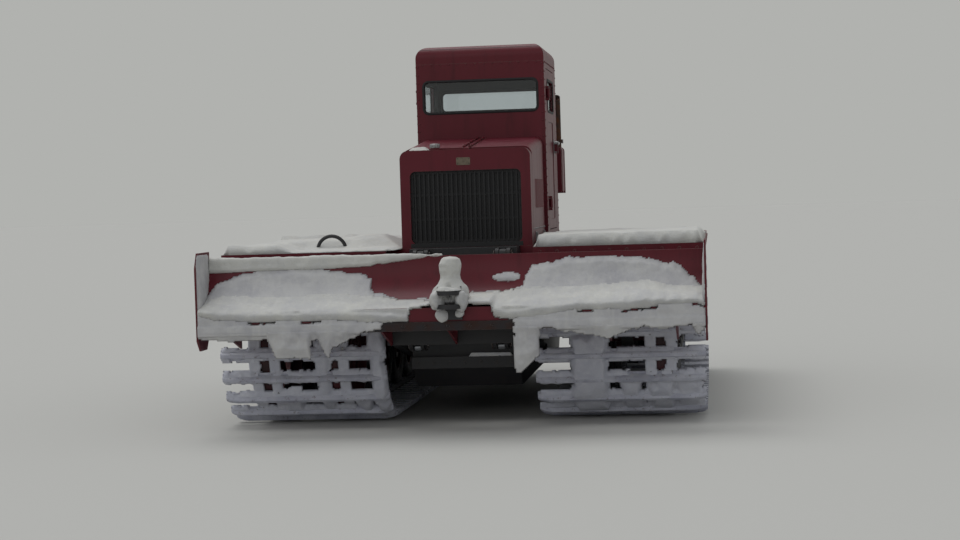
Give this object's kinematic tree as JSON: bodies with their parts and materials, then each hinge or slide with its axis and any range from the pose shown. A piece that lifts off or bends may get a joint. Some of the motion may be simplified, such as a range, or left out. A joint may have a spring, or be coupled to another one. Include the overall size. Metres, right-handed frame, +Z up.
{
  "type": "tracked snow groomer",
  "caption": "Tracked snow groomer with a wide front blade, a hooded engine and a narrow raised cab between two broad cross-bar tracks.",
  "frame": {"origin": "middle of the bounding box's bottom face, on the ground under the machine", "axes": "-Y is forward, +X is the machine's left, +Z is up"},
  "size_m": [3.404, 4.9999, 2.735],
  "materials": {
    "red_paint": "worn gloss paint",
    "black_paint": "satin paint",
    "dark_steel": "worn paint",
    "track_steel": "scoured steel",
    "tyre_rubber": "matt",
    "wheel_paint": "worn paint",
    "engine_iron": "rough",
    "glass": "clear",
    "seat_vinyl": "grained",
    "rod_chrome": "polished"
  },
  "bodies": {
    "chassis": {"chassis_hull": "black_paint", "cross_tubes": "dark_steel", "deck_left": "red_paint", "deck_right": "red_paint", "radiator_shell": "red_paint", "radiator_grille": "black_paint", "engine_block": "engine_iron", "cab_floor": "dark_steel", "cab_front": "red_paint", "cab_rear": "red_paint", "cab_left": "red_paint", "cab_right": "red_paint", "cab_roof": "red_paint", "cab_glass": "glass", "seat_cushion": "seat_vinyl", "seat_back": "seat_vinyl", "controls": "black_paint", "track_left": "track_steel", "track_right": "track_steel", "track_frame_left": "dark_steel", "track_frame_right": "dark_steel", "road_wheels_left": "wheel_paint", "road_wheels_right": "wheel_paint", "tyres_left": "tyre_rubber", "tyres_right": "tyre_rubber", "sprocket_left": "dark_steel", "sprocket_right": "dark_steel", "rear_locker": "black_paint", "silencer_box": "red_paint", "exhaust": "dark_steel", "grab_hoop": "black_paint", "rear_hitch": "dark_steel"},
    "blade_lift_frame": {"push_frame": "red_paint", "blade": "red_paint", "tow_jaw": "dark_steel"},
    "left_cylinder_barrel": {"barrel_left": "black_paint"},
    "right_cylinder_barrel": {"barrel_right": "black_paint"},
    "left_cylinder_rod": {"rod_left": "rod_chrome"},
    "right_cylinder_rod": {"rod_right": "rod_chrome"},
    "left_door": {"door_left": "red_paint", "door_glass_left": "glass"},
    "right_door": {"door_right": "red_paint", "door_glass_right": "glass"},
    "left_hood_half": {"hood_left": "red_paint"},
    "right_hood_half": {"hood_right": "red_paint"}
  },
  "joints": [
    {"name": "blade_lift", "type": "hinge", "parent": "chassis", "child": "blade_lift_frame", "pos_m": [0, -0.59, 0.42], "axis": [-1, 0, 0], "range_deg": [-20, 4]},
    {"name": "left_cylinder_swing", "type": "hinge", "parent": "chassis", "child": "left_cylinder_barrel", "pos_m": [0.29, -1.515, 1.172], "axis": [-1, 0, 0], "range_deg": [-9.6, 2]},
    {"name": "left_rod_stroke", "type": "slide", "parent": "left_cylinder_barrel", "child": "left_cylinder_rod", "axis": [0, -0.3665, -0.9304], "range_m": [-0.0776, 0.3872]},
    {"name": "right_cylinder_swing", "type": "hinge", "parent": "chassis", "child": "right_cylinder_barrel", "pos_m": [-0.29, -1.515, 1.172], "axis": [-1, 0, 0], "range_deg": [-9.6, 2]},
    {"name": "right_rod_stroke", "type": "slide", "parent": "right_cylinder_barrel", "child": "right_cylinder_rod", "axis": [0, -0.3665, -0.9304], "range_m": [-0.0776, 0.3872]},
    {"name": "left_door_hinge", "type": "hinge", "parent": "chassis", "child": "left_door", "pos_m": [0.509, 0.07, 1.9], "axis": [0, 0, -1], "range_deg": [0, 95]},
    {"name": "left_hood_hinge", "type": "hinge", "parent": "chassis", "child": "left_hood_half", "pos_m": [0.025, -1.20075, 1.92396], "axis": [0, -0.9956, -0.0941], "range_deg": [0, 65]},
    {"name": "right_door_hinge", "type": "hinge", "parent": "chassis", "child": "right_door", "pos_m": [-0.509, 0.07, 1.9], "axis": [0, 0, 1], "range_deg": [0, 95]},
    {"name": "right_hood_hinge", "type": "hinge", "parent": "chassis", "child": "right_hood_half", "pos_m": [-0.025, -1.20075, 1.92396], "axis": [0, 0.9956, 0.0941], "range_deg": [0, 65]}
  ],
  "couplings": [
    {"joint": "left_cylinder_swing", "follows": "blade_lift", "ratio": 0.4771},
    {"joint": "left_rod_stroke", "follows": "blade_lift", "m_per_rad": -1.1084},
    {"joint": "right_cylinder_swing", "follows": "blade_lift", "ratio": 0.4771},
    {"joint": "right_rod_stroke", "follows": "blade_lift", "m_per_rad": -1.1084}
  ]
}
